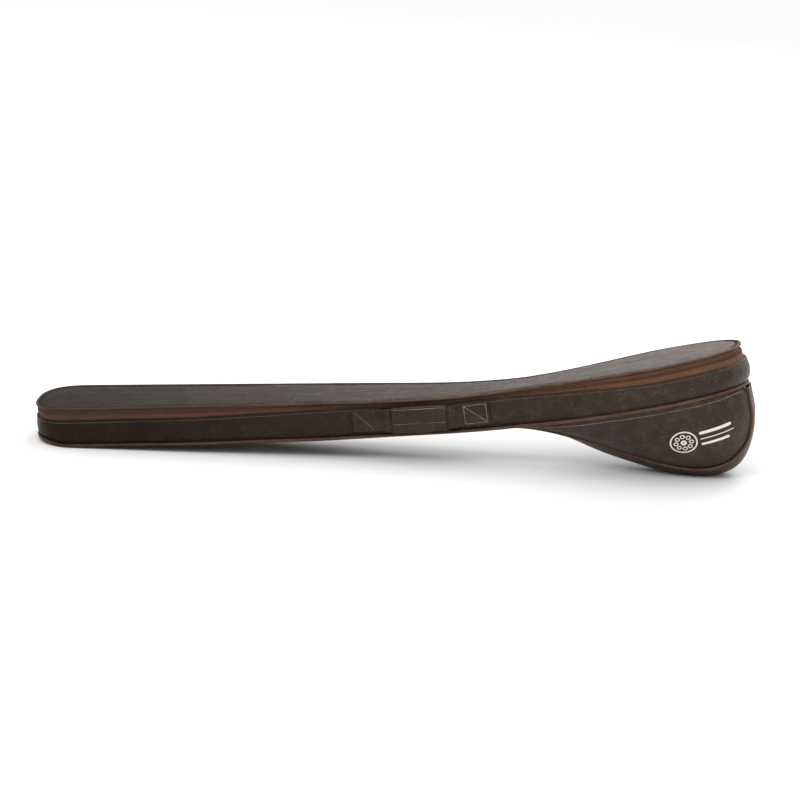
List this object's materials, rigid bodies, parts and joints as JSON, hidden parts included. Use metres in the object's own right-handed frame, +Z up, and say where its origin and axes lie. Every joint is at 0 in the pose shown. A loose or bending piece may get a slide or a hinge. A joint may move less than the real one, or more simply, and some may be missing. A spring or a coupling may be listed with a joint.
{
  "type": "long-necked lute case",
  "caption": "Padded leather case for a long-necked lute, with a zipped lid hinged at the bowl, a deep bowl pouch and a side carrying handle.",
  "frame": {"origin": "middle of the case's outline on the surface that it lies on, under its underside", "axes": "+X from the head end to the bowl end, +Y to the rear where the lid is hinged (the handle is on -Y), +Z up"},
  "size_m": [1.0152, 0.2056, 0.1885],
  "materials": {
    "leather_dark": "grained dark brown leather, semi-matte",
    "leather_lid": "smooth waxed greyish-brown leather with a soft sheen",
    "leather_cord": "reddish-brown leather over a cord",
    "zip_tape": "woven orange-tan zipper tape",
    "zip_coil": "moulded coil teeth",
    "plush_padding": "short plush over foam",
    "antique_brass": "aged, satin"
  },
  "bodies": {
    "case_body": {"band_leather_front": "leather_dark", "band_leather_rear": "leather_dark", "band_padding_front": "plush_padding", "band_padding_rear": "plush_padding", "base_piping": "leather_cord", "handle_patch_bowl": "leather_dark", "handle_patch_head": "leather_dark", "handle_strap_bowl": "leather_dark", "handle_strap_head": "leather_dark", "lid_hinge_strip": "leather_dark", "neck_floor_leather": "leather_dark", "neck_floor_padding": "plush_padding", "pouch_gusset": "leather_dark", "pouch_padding_front": "plush_padding", "pouch_padding_gusset": "plush_padding", "pouch_padding_rear": "plush_padding", "pouch_panel_front": "leather_dark", "pouch_panel_rear": "leather_dark", "pouch_piping_front": "leather_cord", "pouch_piping_rear": "leather_cord", "zipper_coil_lower": "zip_coil", "zipper_tape_lower": "zip_tape"},
    "lid": {"lid_leather": "leather_lid", "lid_padding": "plush_padding", "lid_rim_piping": "leather_cord", "zipper_tape_upper": "zip_tape", "zipper_coil_upper": "zip_coil"},
    "handle": {"handle_grip": "leather_dark"},
    "slider": {"zipper_slider": "antique_brass"},
    "pull": {"zipper_pull": "leather_cord"}
  },
  "joints": [
    {"name": "lid_hinge", "type": "hinge", "parent": "case_body", "child": "lid", "pos_m": [0.37663, 0.10162, 0.13555], "axis": [-0.969, 0, -0.2471], "range_deg": [0, 85], "deforming": ["lid_hinge_strip"]},
    {"name": "handle_lift", "type": "slide", "parent": "case_body", "child": "handle", "axis": [0.0306, -0.9993, 0.0191], "range_m": [0, 0.018], "deforming": ["handle_strap_head", "handle_strap_bowl"]},
    {"name": "zipper_slide", "type": "slide", "parent": "case_body", "child": "slider", "axis": [-0.9283, -0.3407, -0.149], "range_m": [0, 0.0537]},
    {"name": "pull_hinge", "type": "hinge", "parent": "slider", "child": "pull", "pos_m": [0.29823, 0.08599, 0.1177], "axis": [0.9283, 0.3407, 0.149], "range_deg": [0, 85]}
  ]
}
